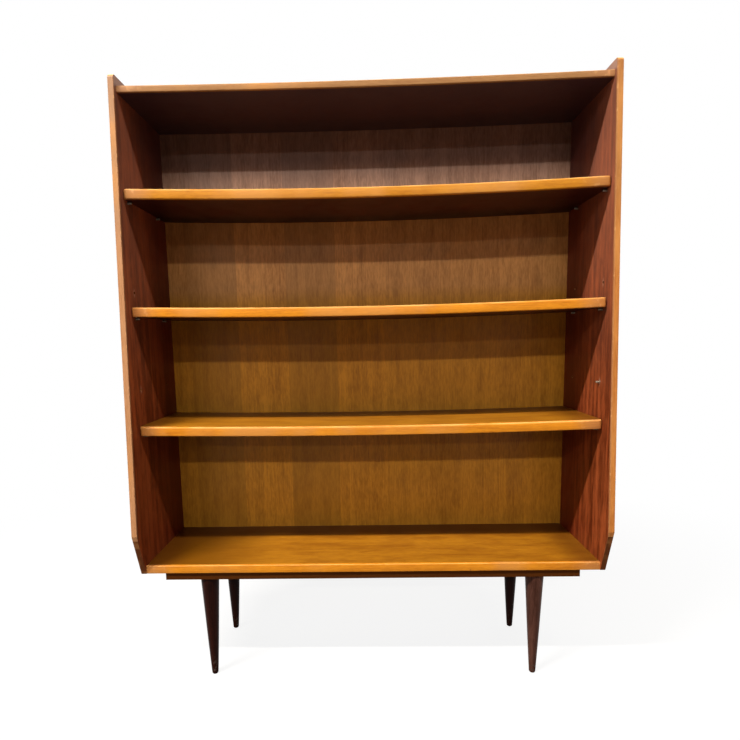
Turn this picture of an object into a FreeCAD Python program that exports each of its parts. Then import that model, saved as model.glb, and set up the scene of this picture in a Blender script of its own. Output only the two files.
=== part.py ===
import FreeCAD, Part
import math
import os

# Bookcase with three loose shelves: a veneered case on a flat leg frame with four turned legs.
# Millimetres, +Z up, front towards -Y. The origin is on the floor, under the middle of the case.

os.makedirs("parts", exist_ok=True)
Vec = FreeCAD.Vector
X_AXIS, Y_AXIS, Z_AXIS = Vec(1, 0, 0), Vec(0, 1, 0), Vec(0, 0, 1)

# --- Side panels: the front edge leans forward down to the knee, then cuts back -------------
overall_width = 1200.0       # over the outside faces of both sides
side_height = 1230.0
side_thickness = 14.0
side_depth_top = 284.0       # rear edge to front edge, at the top
side_depth_knee = 336.0
side_depth_foot = 295.0
knee_height = 115.0          # above the side's bottom edge
side_corner_radius = 10.0    # front top corner
side_lipping_depth = 5.0
arris_radius = 1.0           # every handled edge of the case

# --- Boards of the case ---------------------------------------------------------------------
top_board_drop = 23.0        # from the sides' top edges down to the board's upper face
top_board_thickness = 15.0
top_board_setback = 11.0     # behind the sides' front edges at the top
top_board_sag = 5.0          # how far the middle has sunk
top_lipping_depth = 6.0
bottom_board_thickness = 21.0
bottom_lipping_depth = 8.0
board_edge_radius = 2.0      # front edges of the top and bottom boards
back_panel_thickness = 6.0
back_rebate_width = 7.0      # cut into each side's inner rear edge
back_rebate_depth = 7.5
back_panel_gap = 0.5         # each side of the panel, in its rebate

# --- Shelves and the pins that carry them ---------------------------------------------------
shelf_thickness = 24.0
shelf_depth = 268.0
shelf_back_gap = 5.0
shelf_end_gap = 1.5
shelf_lipping_depth = 10.0
shelf_nose_radius = 5.0      # upper front edge
shelf_lower_edge_radius = 2.5
shelf_corner_radius = 8.0    # front corners, seen from above
shelf_sags = {"lower": 7.0, "middle": 9.0, "upper": 11.0}
shelf_levels = {"lower": 338.0, "middle": 639.0, "upper": 922.0}   # pins above the bottom board
spare_levels = [458.0, 704.0]
pin_front_inset = 30.5       # front column of holes, behind the shelves' front edges
pin_rear_inset = 59.5        # rear column, in front of the shelves' rear edges
pin_radius = 3.42
pin_fit_gap = 0.08           # round a pin in its hole
pin_insertion = 9.0
pin_projection = 10.0
pin_collar_radius = 4.75
pin_collar_thickness = 0.9
pin_collar_gap = 0.2         # collar to the side's face
pin_tip_radius = 1.2
pin_seat_gap = 0.3           # pin to the shelf above it

# --- Leg frame and legs ---------------------------------------------------------------------
rail_thickness = 20.0
rail_width = 70.0
rail_end_inset = 62.0        # from the case's outside face
rail_front_inset = 6.0       # behind the bottom board's front
rail_rear_inset = 4.0        # in front of the sides' rear edges
leg_length = 281.0
leg_top_radius = 24.0
leg_foot_radius = 8.4
leg_foot_rounding = 2.6
leg_top_rounding = 1.0
leg_edge_inset = 27.0        # leg axis in from the rail's outer edge
leg_end_inset = 108.0        # leg axis in from the rail's end

# --- Fixings --------------------------------------------------------------------------------
fixing_clearance = 0.05      # round every dowel, screw, bolt and nail
hole_end_clearance = 0.5
cut_past = 1.0               # how far a cutting block runs past the face it opens
dowel_radius = 4.0
dowel_in_side = 8.0
dowel_in_board = 27.0
dowel_edge_distance = 45.0   # outer dowels from a board's front and rear edges
dowels_per_end = 3
frame_dowel_length = 40.0
frame_dowel_edge = 18.0      # from the end rail's edges
screw_radius = 2.0
screw_head_radius = 4.2
screw_head_height = 2.6
screw_length = 34.0
screw_slot_width = 1.0
screw_slot_depth = 1.0
screw_end_distance = 38.0    # outer screws from a long rail's ends
screws_per_rail = 4
bolt_radius = 4.0
bolt_in_leg = 30.0
bolt_top_gap = 3.0           # below the rail's upper face
insert_radius = 6.0
insert_flange_radius = 11.0
insert_flange_thickness = 1.5
nail_radius = 0.8
nail_head_radius = 1.6
nail_head_thickness = 0.8
nail_length = 18.0
nails_per_side = 6
nails_per_board = 7
nail_end_distance = 60.0

# --- Places worked out from the sizes above -------------------------------------------------
half_width = overall_width / 2
inner_half = half_width - side_thickness
rear_y = max(side_depth_top, side_depth_knee, side_depth_foot) / 2
case_bottom = leg_length + rail_thickness
case_top = case_bottom + side_height
knee_z = case_bottom + knee_height
bottom_board_top = case_bottom + bottom_board_thickness
top_board_top = case_top - top_board_drop
board_rear = rear_y - back_rebate_depth
top_board_front = rear_y - side_depth_top + top_board_setback
bottom_board_front = rear_y - side_depth_foot
back_top = top_board_top - top_board_sag
back_rear = board_rear + back_panel_thickness
shelf_half = inner_half - shelf_end_gap
shelf_rear = board_rear - shelf_back_gap
shelf_front = shelf_rear - shelf_depth
rail_half = half_width - rail_end_inset
rail_front = bottom_board_front + rail_front_inset
rail_rear = rear_y - rail_rear_inset
leg_front_y = rail_front + leg_edge_inset
leg_rear_y = rail_rear - leg_edge_inset
leg_x = rail_half - leg_end_inset
pin_columns = [shelf_front + pin_front_inset, shelf_rear - pin_rear_inset]
pin_hole_radius = pin_radius + pin_fit_gap
pin_hole_depth = pin_insertion + hole_end_clearance


def box(low, high):
    """A block between two opposite corners."""
    size = Vec(*high) - Vec(*low)
    return Part.makeBox(size.x, size.y, size.z, Vec(*low))


def rounded(shape, radius, wanted):
    """The shape with a fillet on each edge whose middle point passes the test."""
    edges = [edge for edge in shape.Edges if wanted(edge, edge.CenterOfMass)]
    return shape.makeFillet(radius, edges).Solids[0]


def near(value, target, tolerance=0.01):
    return abs(value - target) < tolerance


def runs_along(edge, axis):
    """Whether an edge is straight and parallel to an axis."""
    if not isinstance(edge.Curve, Part.Line):
        return False
    return edge.Curve.Direction.cross(axis).Length < 1e-6


def spread(first, last, count):
    """Evenly spaced values, both ends included."""
    return [first + (last - first) * step / (count - 1) for step in range(count)]


def sag_drop(x, half_length, sag):
    """How far a sagging board lies below its ends, at a distance x from its middle."""
    radius = (half_length ** 2 + sag ** 2) / (2 * sag)
    return math.sqrt(radius ** 2 - x ** 2) - (radius - sag)


def sagging_board(half_length, front, rear, top, thickness, sag):
    """A board held at its ends, its two faces bent to one shallow arc."""
    def arc(z):
        middle = Vec(0, front, z - sag)
        return Part.Arc(Vec(-half_length, front, z), middle, Vec(half_length, front, z)).toShape()

    def end(x):
        return Part.makeLine(Vec(x, front, top - thickness), Vec(x, front, top))

    outline = [arc(top), end(half_length), arc(top - thickness), end(-half_length)]
    face = Part.Face(Part.Wire(Part.__sortEdges__(outline)))
    return face.extrude(Vec(0, rear - front, 0))


def split_lipping(board, front, depth):
    """Separate a board into its solid front strip and the veneered panel behind it."""
    limits = board.BoundBox
    strip = box((limits.XMin - cut_past, front - cut_past, limits.ZMin - cut_past),
                (limits.XMax + cut_past, front + depth, limits.ZMax + cut_past))
    return board.common(strip).Solids[0], board.cut(strip).Solids[0]


def round_front(lipping, front, upper_radius, lower_radius):
    """Round the long upper and lower front edges of a lipping."""
    def upper(edge, middle):
        long_edge = edge.BoundBox.XLength > half_width and near(middle.y, front)
        return long_edge and middle.z > lipping.CenterOfMass.z

    def lower(edge, middle):
        long_edge = edge.BoundBox.XLength > half_width and near(middle.y, front)
        return long_edge and middle.z < lipping.CenterOfMass.z

    return rounded(rounded(lipping, upper_radius, upper), lower_radius, lower)


def cylinder(radius, length, start, axis):
    return Part.makeCylinder(radius, length, Vec(*start), axis)


def cut_all(shape, cutters):
    """The shape with every cutter taken out of it."""
    return shape.cut(Part.makeCompound(cutters)) if cutters else shape


def save(name, shapes):
    """Write one node: a single solid, or a group of like solids."""
    solids = [solid for shape in shapes for solid in shape.Solids]
    result = solids[0] if len(solids) == 1 else Part.makeCompound(solids)
    result.exportStep("parts/%s.step" % name)
    print("%-26s %3d solids %12.1f mm3" % (name, len(solids), result.Volume))


# --- Fixings: each is made with its own hole, which is a little larger ------------------------
def dowel(middle, axis, length, extra=0.0):
    """A wooden dowel about its middle; with extra, the hole for it."""
    full = length + (2 * hole_end_clearance if extra else 0.0)
    start = Vec(*middle) - axis * (full / 2)
    return Part.makeCylinder(dowel_radius + extra, full, start, axis)


def side_dowels(front, rear, z, extra=0.0):
    """A row of dowels in each end of a board, reaching into the sides."""
    length = dowel_in_side + dowel_in_board
    middle_x = inner_half + (dowel_in_side - dowel_in_board) / 2
    rows = spread(front + dowel_edge_distance, rear - dowel_edge_distance, dowels_per_end)
    return [dowel((side * middle_x, y, z), X_AXIS, length, extra) for side in (-1, 1) for y in rows]


def frame_dowels(extra=0.0):
    """Two dowels at each end of each end rail, into the front and rear rails."""
    inner_edge = rail_half - rail_width + frame_dowel_edge
    outer_edge = rail_half - frame_dowel_edge
    seams = (rail_front + rail_width, rail_rear - rail_width)
    z = leg_length + rail_thickness / 2
    return [dowel((side * x, y, z), Y_AXIS, frame_dowel_length, extra)
            for side in (-1, 1) for x in (inner_edge, outer_edge) for y in seams]


def frame_screw(x, y, extra=0.0):
    """A countersunk wood screw driven up through a rail into the bottom board."""
    head = Part.makeCone(screw_head_radius + extra, screw_radius + extra, screw_head_height,
                         Vec(x, y, leg_length), Z_AXIS)
    length = screw_length + (hole_end_clearance if extra else 0.0)
    screw = head.fuse(cylinder(screw_radius + extra, length, (x, y, leg_length), Z_AXIS))
    if extra:
        return screw
    slot = box((x - screw_slot_width / 2, y - 2 * screw_head_radius, leg_length - cut_past),
               (x + screw_slot_width / 2, y + 2 * screw_head_radius, leg_length + screw_slot_depth))
    return screw.cut(slot)


def frame_screws(extra=0.0):
    """Screws along the front and rear rails, and one in the middle of each end rail."""
    rows = (rail_front + rail_width / 2, rail_rear - rail_width / 2)
    outermost = rail_half - screw_end_distance
    places = [(x, y) for y in rows for x in spread(-outermost, outermost, screws_per_rail)]
    places += [(side * (rail_half - rail_width / 2), sum(rows) / 2) for side in (-1, 1)]
    return [frame_screw(x, y, extra) for x, y in places]


def leg_places():
    """The names and axis positions of the four legs."""
    return {"%s_%s_leg" % (row, side): (sign * leg_x, y)
            for row, y in (("front", leg_front_y), ("rear", leg_rear_y))
            for side, sign in (("left", -1), ("right", 1))}


def hanger_bolt(x, y, extra=0.0):
    """The double-ended bolt in the top of a leg."""
    end_gap = hole_end_clearance if extra else 0.0
    start = leg_length - bolt_in_leg - end_gap
    length = case_bottom - bolt_top_gap - start
    return cylinder(bolt_radius + extra, length, (x, y, start), Z_AXIS)


def leg_insert(x, y, extra=0.0):
    """The flanged metal insert, let into a rail from above, that a leg bolt screws into."""
    sleeve = cylinder(insert_radius + extra, rail_thickness, (x, y, leg_length), Z_AXIS)
    flange_bottom = case_bottom - insert_flange_thickness - extra
    flange = cylinder(insert_flange_radius + extra, insert_flange_thickness + extra,
                      (x, y, flange_bottom), Z_AXIS)
    insert = sleeve.fuse(flange)
    if extra:
        return insert
    bore = cylinder(bolt_radius + fixing_clearance, rail_thickness, (x, y, leg_length), Z_AXIS)
    return insert.cut(bore)


def nail_places():
    """Where the back panel is nailed: (x, z) down both sides and along both boards."""
    rebate_x = inner_half + back_rebate_width / 2
    heights = spread(case_bottom + nail_end_distance, back_top - nail_end_distance, nails_per_side)
    places = [(side * rebate_x, z) for side in (-1, 1) for z in heights]
    for x in spread(nail_end_distance - inner_half, inner_half - nail_end_distance, nails_per_board):
        top_middle = top_board_top - top_board_thickness / 2
        places.append((x, top_middle - sag_drop(x, inner_half, top_board_sag)))
        places.append((x, case_bottom + bottom_board_thickness / 2))
    return places


def back_nail(x, z, extra=0.0):
    """A flat-headed panel nail, driven forwards through the back panel."""
    length = nail_length + (hole_end_clearance if extra else 0.0)
    shank = cylinder(nail_radius + extra, length, (x, back_rear, z), Vec(0, -1, 0))
    if extra:
        return shank
    return shank.fuse(cylinder(nail_head_radius, nail_head_thickness, (x, back_rear, z), Y_AXIS))


# --- Shelf pins and their holes -------------------------------------------------------------
def pin_places(level):
    """The mouths of the four pin holes at one level: (side, y, z)."""
    z = bottom_board_top + level
    return [(side, y, z) for side in (-1, 1) for y in pin_columns]


def pin_hole(side, y, z):
    return cylinder(pin_hole_radius, pin_hole_depth, (side * inner_half, y, z), X_AXIS * side)


def shelf_pin(side, y, z):
    """A collared steel peg, pushed into a side, on which a shelf rests."""
    mouth = side * inner_half
    inward = X_AXIS * -side
    start = (mouth + side * pin_insertion, y, z)
    peg = cylinder(pin_radius, pin_insertion + pin_projection, start, inward)
    tip_x = mouth - side * pin_projection
    peg = rounded(peg, pin_tip_radius, lambda edge, middle: near(middle.x, tip_x))
    collar_start = (mouth - side * pin_collar_gap, y, z)
    return peg.fuse(cylinder(pin_collar_radius, pin_collar_thickness, collar_start, inward))


# --- The case ---------------------------------------------------------------------------------
def side_outline():
    """A side panel's outline at x = 0, seen along the shelves."""
    points = [Vec(0, rear_y, case_bottom),
              Vec(0, rear_y - side_depth_foot, case_bottom),
              Vec(0, rear_y - side_depth_knee, knee_z),
              Vec(0, rear_y - side_depth_top, case_top),
              Vec(0, rear_y, case_top)]
    return Part.makePolygon(points + points[:1])


def side_blank():
    """A whole side, lipping included, with its edges eased; its outer face is at x = 0."""
    blank = Part.Face(side_outline()).extrude(Vec(side_thickness, 0, 0))
    top_front = Vec(side_thickness / 2, rear_y - side_depth_top, case_top)
    blank = rounded(blank, side_corner_radius,
                    lambda edge, middle: middle.sub(top_front).Length < 0.01)
    return rounded(blank, arris_radius,
                   lambda edge, middle: not runs_along(edge, X_AXIS))


def lipping_band():
    """The leaning strip along a side's front edge, longer than the edge at both ends."""
    knee = Vec(-cut_past, rear_y - side_depth_knee, knee_z)
    top = Vec(-cut_past, rear_y - side_depth_top, case_top)
    along = (top - knee).normalize() * side_corner_radius * 2
    across = Vec(0, along.z, -along.y).normalize() * side_lipping_depth
    outside = across * -1
    corners = [knee - along + outside, top + along + outside, top + along + across,
               knee - along + across]
    face = Part.Face(Part.makePolygon(corners + corners[:1]))
    return face.extrude(Vec(side_thickness + 2 * cut_past, 0, 0))


def build_side(side):
    """One side panel and its front lipping; side is -1 for the left and 1 for the right."""
    place = Vec(-half_width, 0, 0) if side < 0 else Vec(inner_half, 0, 0)
    blank = side_blank().translated(place)
    band = lipping_band().translated(place)
    rebate_x = sorted((side * inner_half, side * (inner_half + back_rebate_width)))
    rebate = box((rebate_x[0], board_rear, case_bottom - cut_past),
                 (rebate_x[1], rear_y + cut_past, back_top + back_panel_gap))
    cutters = [rebate]
    for level in list(shelf_levels.values()) + spare_levels:
        cutters += [pin_hole(*pin) for pin in pin_places(level) if pin[0] == side]
    cutters += case_dowels(fixing_clearance)
    cutters += [back_nail(x, z, fixing_clearance) for x, z in nail_places()]
    return cut_all(blank.cut(band), cutters), blank.common(band)


def top_dowels(extra=0.0):
    middle = top_board_top - top_board_thickness / 2
    return side_dowels(top_board_front, board_rear, middle, extra)


def bottom_dowels(extra=0.0):
    middle = case_bottom + bottom_board_thickness / 2
    return side_dowels(bottom_board_front, board_rear, middle, extra)


def case_dowels(extra=0.0):
    return top_dowels(extra) + bottom_dowels(extra)


def build_top_board():
    board = sagging_board(inner_half, top_board_front, board_rear, top_board_top,
                          top_board_thickness, top_board_sag)
    lipping, panel = split_lipping(board, top_board_front, top_lipping_depth)
    lipping = round_front(lipping, top_board_front, board_edge_radius, board_edge_radius)
    nails = [back_nail(x, z, fixing_clearance) for x, z in nail_places()]
    return cut_all(panel, top_dowels(fixing_clearance) + nails), lipping


def build_bottom_board():
    board = box((-inner_half, bottom_board_front, case_bottom),
                (inner_half, board_rear, bottom_board_top))
    lipping, panel = split_lipping(board, bottom_board_front, bottom_lipping_depth)
    lipping = round_front(lipping, bottom_board_front, board_edge_radius, board_edge_radius)
    nails = [back_nail(x, z, fixing_clearance) for x, z in nail_places()]
    cutters = bottom_dowels(fixing_clearance) + frame_screws(fixing_clearance) + nails
    return cut_all(panel, cutters), lipping


def build_back_panel():
    half = inner_half + back_rebate_width - back_panel_gap
    panel = box((-half, board_rear, case_bottom), (half, back_rear, back_top))
    return cut_all(panel, [back_nail(x, z, fixing_clearance) for x, z in nail_places()])


# --- Shelves ----------------------------------------------------------------------------------
def shelf_top(name):
    """The height of a shelf's upper face at its ends, as it rests on its pins' tips."""
    sag = shelf_sags[name]
    dip_at_tip = sag_drop(inner_half - pin_projection, shelf_half, sag)
    pin_top = bottom_board_top + shelf_levels[name] + pin_radius
    return pin_top + pin_seat_gap + dip_at_tip + shelf_thickness


def build_shelf(name):
    """A shelf's veneered board and the solid lipping along its front."""
    board = sagging_board(shelf_half, shelf_front, shelf_rear, shelf_top(name),
                          shelf_thickness, shelf_sags[name])
    lipping, panel = split_lipping(board, shelf_front, shelf_lipping_depth)
    lipping = rounded(lipping, shelf_corner_radius,
                      lambda edge, middle: runs_along(edge, Z_AXIS) and near(middle.y, shelf_front))
    return panel, round_front(lipping, shelf_front, shelf_nose_radius, shelf_lower_edge_radius)


# --- Leg frame and legs -----------------------------------------------------------------------
def build_rails():
    """Four flat rails: long ones in front and behind, with an end rail between them each side."""
    low, high = leg_length, case_bottom
    inner_front, inner_rear = rail_front + rail_width, rail_rear - rail_width
    inner_x = rail_half - rail_width
    blanks = {
        "front_rail": box((-rail_half, rail_front, low), (rail_half, inner_front, high)),
        "rear_rail": box((-rail_half, inner_rear, low), (rail_half, rail_rear, high)),
        "left_end_rail": box((-rail_half, inner_front, low), (-inner_x, inner_rear, high)),
        "right_end_rail": box((inner_x, inner_front, low), (rail_half, inner_rear, high)),
    }
    cutters = frame_dowels(fixing_clearance) + frame_screws(fixing_clearance)
    cutters += [leg_insert(x, y, fixing_clearance) for x, y in leg_places().values()]
    rails = {}
    for name, blank in blanks.items():
        eased = rounded(blank, arris_radius, lambda edge, middle: near(middle.z, low) and
                        (near(abs(middle.x), rail_half) or middle.y in (rail_front, rail_rear)))
        rails[name] = cut_all(eased, cutters)
    return rails


def build_leg(x, y):
    """A turned leg, tapering from the rail to a small rounded foot."""
    leg = Part.makeCone(leg_foot_radius, leg_top_radius, leg_length, Vec(x, y, 0), Z_AXIS)
    leg = rounded(leg, leg_foot_rounding, lambda edge, middle: near(middle.z, 0))
    leg = rounded(leg, leg_top_rounding, lambda edge, middle: near(middle.z, leg_length))
    return leg.cut(hanger_bolt(x, y, fixing_clearance))


# --- Write every node -------------------------------------------------------------------------
for side_name, side_sign in (("left", -1), ("right", 1)):
    side_panel, side_lipping = build_side(side_sign)
    save("%s_side_panel" % side_name, [side_panel])
    save("%s_side_lipping" % side_name, [side_lipping])

for board_name, build_board in (("top_board", build_top_board), ("bottom_board", build_bottom_board)):
    board_panel, board_lipping = build_board()
    save(board_name, [board_panel])
    save("%s_lipping" % board_name, [board_lipping])

save("back_panel", [build_back_panel()])
save("back_panel_nails", [back_nail(x, z) for x, z in nail_places()])
save("top_board_dowels", top_dowels())
save("bottom_board_dowels", bottom_dowels())

for shelf_name, shelf_level in shelf_levels.items():
    shelf_panel, shelf_lipping = build_shelf(shelf_name)
    save("%s_shelf" % shelf_name, [shelf_panel])
    save("%s_shelf_lipping" % shelf_name, [shelf_lipping])
    save("%s_shelf_pins" % shelf_name, [shelf_pin(*pin) for pin in pin_places(shelf_level)])

save("spare_shelf_pin", [shelf_pin(1, pin_columns[0], bottom_board_top + spare_levels[0])])

for rail_name, rail in build_rails().items():
    save(rail_name, [rail])
save("frame_dowels", frame_dowels())
save("frame_screws", frame_screws())

for leg_name, leg_axis in leg_places().items():
    save(leg_name, [build_leg(*leg_axis)])
save("leg_hanger_bolts", [hanger_bolt(x, y) for x, y in leg_places().values()])
save("leg_inserts", [leg_insert(x, y) for x, y in leg_places().values()])
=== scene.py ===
# %% [markdown]
# # A bookcase with loose shelves
# The construction is already settled: every board, pin and leg is at its real size and place in the
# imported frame. This script gives it its looks. Boards whose shape is already right keep their mesh and
# get veneer and lacquer. Lippings, legs and shelf pins are modelled again, with softer shapes.

# %% Load the frame
import math

import bpy
from mathutils import Matrix, Vector, noise


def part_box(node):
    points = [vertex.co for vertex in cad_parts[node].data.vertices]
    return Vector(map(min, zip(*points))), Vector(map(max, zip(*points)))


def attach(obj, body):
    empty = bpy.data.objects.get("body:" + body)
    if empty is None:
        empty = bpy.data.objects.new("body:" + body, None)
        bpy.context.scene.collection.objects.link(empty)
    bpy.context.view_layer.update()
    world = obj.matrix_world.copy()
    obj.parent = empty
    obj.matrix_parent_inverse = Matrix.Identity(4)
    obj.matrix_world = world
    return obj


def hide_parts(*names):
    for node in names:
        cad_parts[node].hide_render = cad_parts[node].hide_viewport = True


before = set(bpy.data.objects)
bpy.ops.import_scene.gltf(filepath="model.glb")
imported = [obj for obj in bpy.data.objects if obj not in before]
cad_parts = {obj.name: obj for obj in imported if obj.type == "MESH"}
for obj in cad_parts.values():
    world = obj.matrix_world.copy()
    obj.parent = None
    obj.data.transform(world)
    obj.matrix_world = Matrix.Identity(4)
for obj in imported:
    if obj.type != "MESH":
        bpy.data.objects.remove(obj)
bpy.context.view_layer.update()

# %% [markdown]
# ## The camera
# A phone held at chest height, in the middle of the case and close to it, tips down a little. Close
# and wide-angled, it shows both inner sides at once. Yaw, pitch and roll turn it from looking straight
# back. The lens shift frames the picture without turning the camera, so uprights keep their slope.

# %% Camera
CAMERA_PLACE = Vector((0.0022, -1.4334, 0.9013))
CAMERA_YAW = -0.02615        # radians; towards the left side
CAMERA_PITCH = -0.12486      # downwards
CAMERA_ROLL = -0.02008
CAMERA_LENS = 25.774         # millimetres, on a sensor 36 mm wide
CAMERA_SHIFT = (0.0201, 0.0471)


def aim_camera():
    """The camera's axes are built from its three angles, then written as one matrix."""
    forward = Vector((math.sin(CAMERA_YAW) * math.cos(CAMERA_PITCH),
                      math.cos(CAMERA_YAW) * math.cos(CAMERA_PITCH), math.sin(CAMERA_PITCH)))
    level = Vector((math.cos(CAMERA_YAW), -math.sin(CAMERA_YAW), 0))
    above = level.cross(forward)
    right = level * math.cos(CAMERA_ROLL) + above * math.sin(CAMERA_ROLL)
    up = above * math.cos(CAMERA_ROLL) - level * math.sin(CAMERA_ROLL)
    turn = Matrix((right, up, -forward)).transposed().to_4x4()
    return Matrix.Translation(CAMERA_PLACE) @ turn


bpy.ops.object.camera_add()
camera = bpy.context.object
camera.name = "camera"
camera.matrix_world = aim_camera()
camera.data.sensor_width = 36
camera.data.lens = CAMERA_LENS
camera.data.shift_x, camera.data.shift_y = CAMERA_SHIFT
bpy.context.scene.camera = camera
print("the camera stands", round(-CAMERA_PLACE.y, 2), "metres in front of the middle of the case")

# %% [markdown]
# ## Building shaders
# A shader is a tree of nodes. Adding a node, setting it and wiring it up takes several lines, so short
# helpers do it in one: for any node, for sums, for mixing two colours, for stretching a value from one
# range to another, for taking a vector apart, for the way a face points, for soft noise, and for
# starting a node group.

# %% Shader helpers
def add_node(tree, kind, inputs=None, **settings):
    """A node with its settings and inputs; an input is a value or another node's output."""
    made = tree.nodes.new("ShaderNode" + kind)
    for name, value in settings.items():
        setattr(made, name, value)
    for socket, value in (inputs or {}).items():
        if isinstance(value, bpy.types.NodeSocket):
            tree.links.new(value, made.inputs[socket])
        else:
            made.inputs[socket].default_value = value
    return made


def sums(tree, operation, first, second=0.0, third=0.0, clamp=False):
    """The result of one Math node."""
    made = add_node(tree, "Math", {0: first, 1: second, 2: third},
                    operation=operation, use_clamp=clamp)
    return made.outputs[0]


def mixed(tree, share, first, second, blend="MIX"):
    """Two colours mixed by a share from 0 to 1."""
    made = add_node(tree, "Mix", {0: share, 6: first, 7: second},
                    data_type="RGBA", blend_type=blend)
    return made.outputs[2]


def ramp(tree, value, low, high, to_low=0.0, to_high=1.0):
    """A value stretched from one range to another, and held inside it."""
    made = add_node(tree, "MapRange", {0: value, 1: low, 2: high, 3: to_low, 4: to_high},
                    interpolation_type="SMOOTHSTEP")
    return made.outputs[0]


def parts_of(tree, vector):
    """The X, Y and Z of a vector."""
    return add_node(tree, "SeparateXYZ", {0: vector}).outputs


def face_direction(tree):
    """The X, Y and Z of the direction that a face points in."""
    return parts_of(tree, add_node(tree, "NewGeometry").outputs["True Normal"])


def cloud(tree, place, scale, detail):
    """Soft noise, mostly between 0.3 and 0.7, with about as many cells to the metre as its scale."""
    made = add_node(tree, "TexNoise", {"Vector": place, "Scale": scale, "Detail": detail})
    return made.outputs["Fac"]


def new_group(name, inputs, outputs):
    """An empty node group with named sockets; a float gets its default value."""
    group = bpy.data.node_groups.new(name, "ShaderNodeTree")
    for socket, value in inputs.items():
        kind = "NodeSocketVector" if value is None else "NodeSocketFloat"
        made = group.interface.new_socket(socket, in_out="INPUT", socket_type=kind)
        if value is not None:
            made.default_value = value
    for socket in outputs:
        group.interface.new_socket(socket, in_out="OUTPUT", socket_type="NodeSocketFloat")
    start = group.nodes.new("NodeGroupInput")
    end = group.nodes.new("NodeGroupOutput")
    return group, start.outputs, end.inputs


SHADER_HELPERS = (add_node, sums, mixed, ramp, parts_of, face_direction, cloud, new_group)
print("shader helpers:", [helper.__name__ for helper in SHADER_HELPERS])

# %% [markdown]
# ## Grain, as one group
# Veneer shows six things at once: broad streaks where the colour drifts, growth lines that wander
# into long arches, hair-fine fibres, short dark pores, flecks as long as a rice grain, and the cloudy
# figure of wavy wood. Most run along the trunk, so each is a pattern stretched along one axis. One
# group makes them all; each wood sets their sizes itself.

# %% Grain group
def make_grain_group():
    """Grain along Z, in metres. All outputs run from 0 to 1."""
    tree, given, result = new_group(
        "wood_grain",
        {"Place": None, "Seed": 0.0, "Streak Width": 0.05, "Ring Spacing": 0.012,
         "Ring Wander": 0.03, "Fibre Width": 0.0012, "Pore Width": 0.0016, "Fleck Width": 0.004,
         "Figure Width": 0.03},
        ("Streaks", "Rings", "Fibres", "Pores", "Flecks", "Figure"))
    shift = add_node(tree, "CombineXYZ", {0: given["Seed"], 1: given["Seed"], 2: given["Seed"]})
    place = add_node(tree, "VectorMath", {0: given["Place"], 1: shift.outputs[0]}).outputs[0]

    def stretched(width, along, detail):
        """Noise with cells of one width across the grain and many times that along it."""
        squeeze = add_node(tree, "VectorMath", {0: place, 1: (1, 1, 1 / along)},
                           operation="MULTIPLY").outputs[0]
        made = add_node(tree, "TexNoise", {"Vector": squeeze, "Detail": detail,
                                           "Scale": sums(tree, "DIVIDE", 1.0, width)})
        return made.outputs["Fac"]

    streaks = stretched(given["Streak Width"], 22, 3)
    tree.links.new(ramp(tree, streaks, 0.3, 0.7), result["Streaks"])

    wander = stretched(sums(tree, "MULTIPLY", given["Ring Spacing"], 14), 7, 1.5)
    across = parts_of(tree, place)
    line = sums(tree, "MULTIPLY_ADD", wander, sums(tree, "MULTIPLY", given["Ring Wander"], 6),
                sums(tree, "ADD", across[0], across[1]))
    phase = sums(tree, "DIVIDE", line, given["Ring Spacing"])
    saw = sums(tree, "FRACT", phase)
    tree.links.new(sums(tree, "POWER", saw, 2.2), result["Rings"])

    fibres = stretched(given["Fibre Width"], 90, 2)
    tree.links.new(ramp(tree, fibres, 0.32, 0.68), result["Fibres"])
    pores = stretched(given["Pore Width"], 11, 1)
    tree.links.new(ramp(tree, pores, 0.62, 0.74), result["Pores"])
    flecks = stretched(given["Fleck Width"], 5, 3)
    tree.links.new(ramp(tree, flecks, 0.34, 0.66), result["Flecks"])
    figure = stretched(given["Figure Width"], 3, 4)
    tree.links.new(ramp(tree, figure, 0.36, 0.68), result["Figure"])
    return tree


GRAIN = make_grain_group()
print("grain group made with", len(GRAIN.nodes), "nodes")

# %% [markdown]
# ## Worn edges, as one group
# Lacquer goes first from the arrises, where hands and vacuum cleaners rub. A Bevel node looks at the
# surface as if its edges were rounded; where that differs from the true surface, there is an edge.
# Noise breaks the line up, because wear is never even.

# %% Wear group
def make_wear_group():
    """Two masks from 0 to 1: rubbed edges, and faint scuffs on the flat."""
    tree, given, result = new_group("worn_edges", {"Place": None, "Amount": 0.5, "Seed": 0.0},
                                    ("Edges", "Scuffs"))
    rounded = add_node(tree, "Bevel", {"Radius": 0.0016}, samples=4).outputs[0]
    flat = add_node(tree, "NewGeometry").outputs["True Normal"]
    alike = add_node(tree, "VectorMath", {0: rounded, 1: flat}, operation="DOT_PRODUCT")
    edge = ramp(tree, alike.outputs["Value"], 0.995, 0.86)
    shift = add_node(tree, "CombineXYZ", {0: given["Seed"], 1: given["Seed"], 2: given["Seed"]})
    place = add_node(tree, "VectorMath", {0: given["Place"], 1: shift.outputs[0]}).outputs[0]
    patches = cloud(tree, place, 24.0, 6.0)
    enough = sums(tree, "SUBTRACT", 1.0, given["Amount"])
    broken = ramp(tree, patches, enough, sums(tree, "ADD", enough, 0.22))
    tree.links.new(sums(tree, "MULTIPLY", edge, broken), result["Edges"])
    smears = add_node(tree, "TexNoise", {"Vector": place, "Scale": 7.0, "Detail": 8.0,
                                         "Roughness": 0.65})
    tree.links.new(ramp(tree, smears.outputs["Fac"], 0.4, 0.75), result["Scuffs"])
    return tree


WEAR = make_wear_group()
print("wear group made with", len(WEAR.nodes), "nodes")

# %% [markdown]
# ## Specks, as one group
# A bookcase that has stood in a room for sixty years has a few dots of wall paint and small dark dents.
# Voronoi cells give one dot each; only the cells with a high random number keep theirs.

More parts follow.
